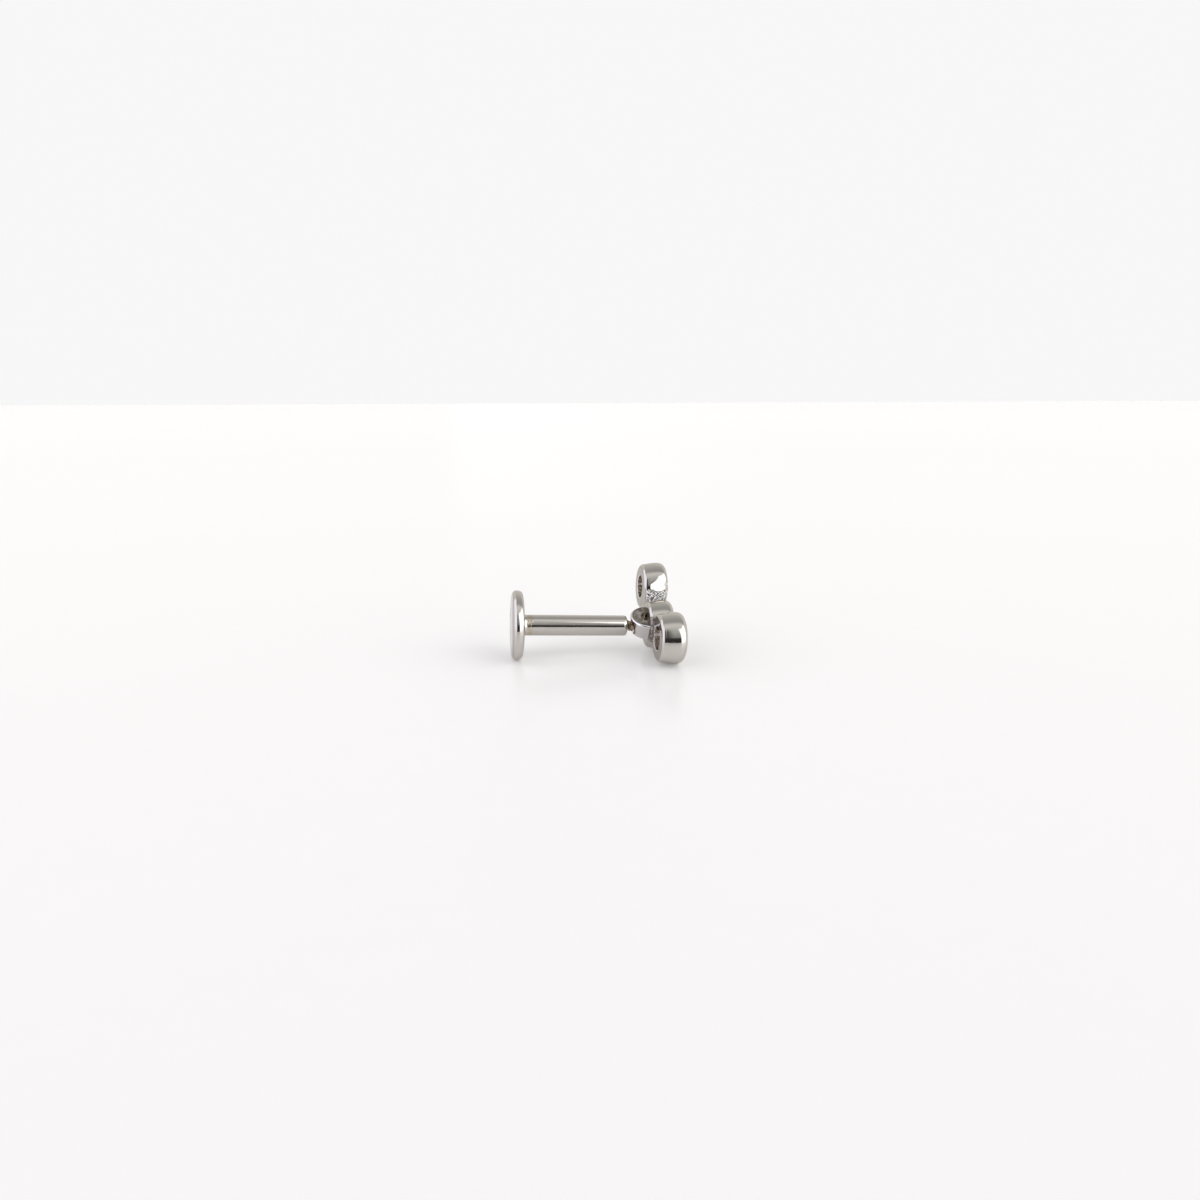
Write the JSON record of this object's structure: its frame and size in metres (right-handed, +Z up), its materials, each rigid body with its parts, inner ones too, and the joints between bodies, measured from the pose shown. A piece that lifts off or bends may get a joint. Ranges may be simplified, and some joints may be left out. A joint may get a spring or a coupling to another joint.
{
  "type": "labret stud",
  "caption": "Flat-back labret stud with a straight post and a screw-off head: an arc of round open-backed bezel cups with set stones, joined by a half-round lug.",
  "frame": {"origin": "middle of the stud's own box, on the surface that it lies on", "axes": "+X from the back disc towards the head, +Z up off the surface, -Y towards the near cup"},
  "size_m": [0.0097, 0.0082, 0.0048],
  "materials": {
    "post_steel": "mirror polished, straw weld tint at the disc",
    "head_steel": "mirror polished, grainy at the solder",
    "pin_steel": "turned, browned",
    "clear_stone": "faceted"
  },
  "bodies": {
    "post": {"labret_post": "post_steel"},
    "pin": {"threaded_pin": "pin_steel"},
    "head": {"setting": "head_steel", "stone_far": "clear_stone", "stone_middle": "clear_stone", "stone_near": "clear_stone"}
  },
  "joints": [
    {"name": "pin_advance", "type": "slide", "parent": "post", "child": "pin", "axis": [0.9979, 0, -0.0652], "range_m": [0, 0.00226]},
    {"name": "head_turn", "type": "hinge", "parent": "pin", "child": "head", "pos_m": [0.00317, 0.00032, 0.0015], "axis": [0.9979, 0, -0.0652], "range_deg": [0, 3240]}
  ],
  "couplings": [
    {"joint": "pin_advance", "follows": "head_turn", "m_per_rad": 0.000039789}
  ]
}
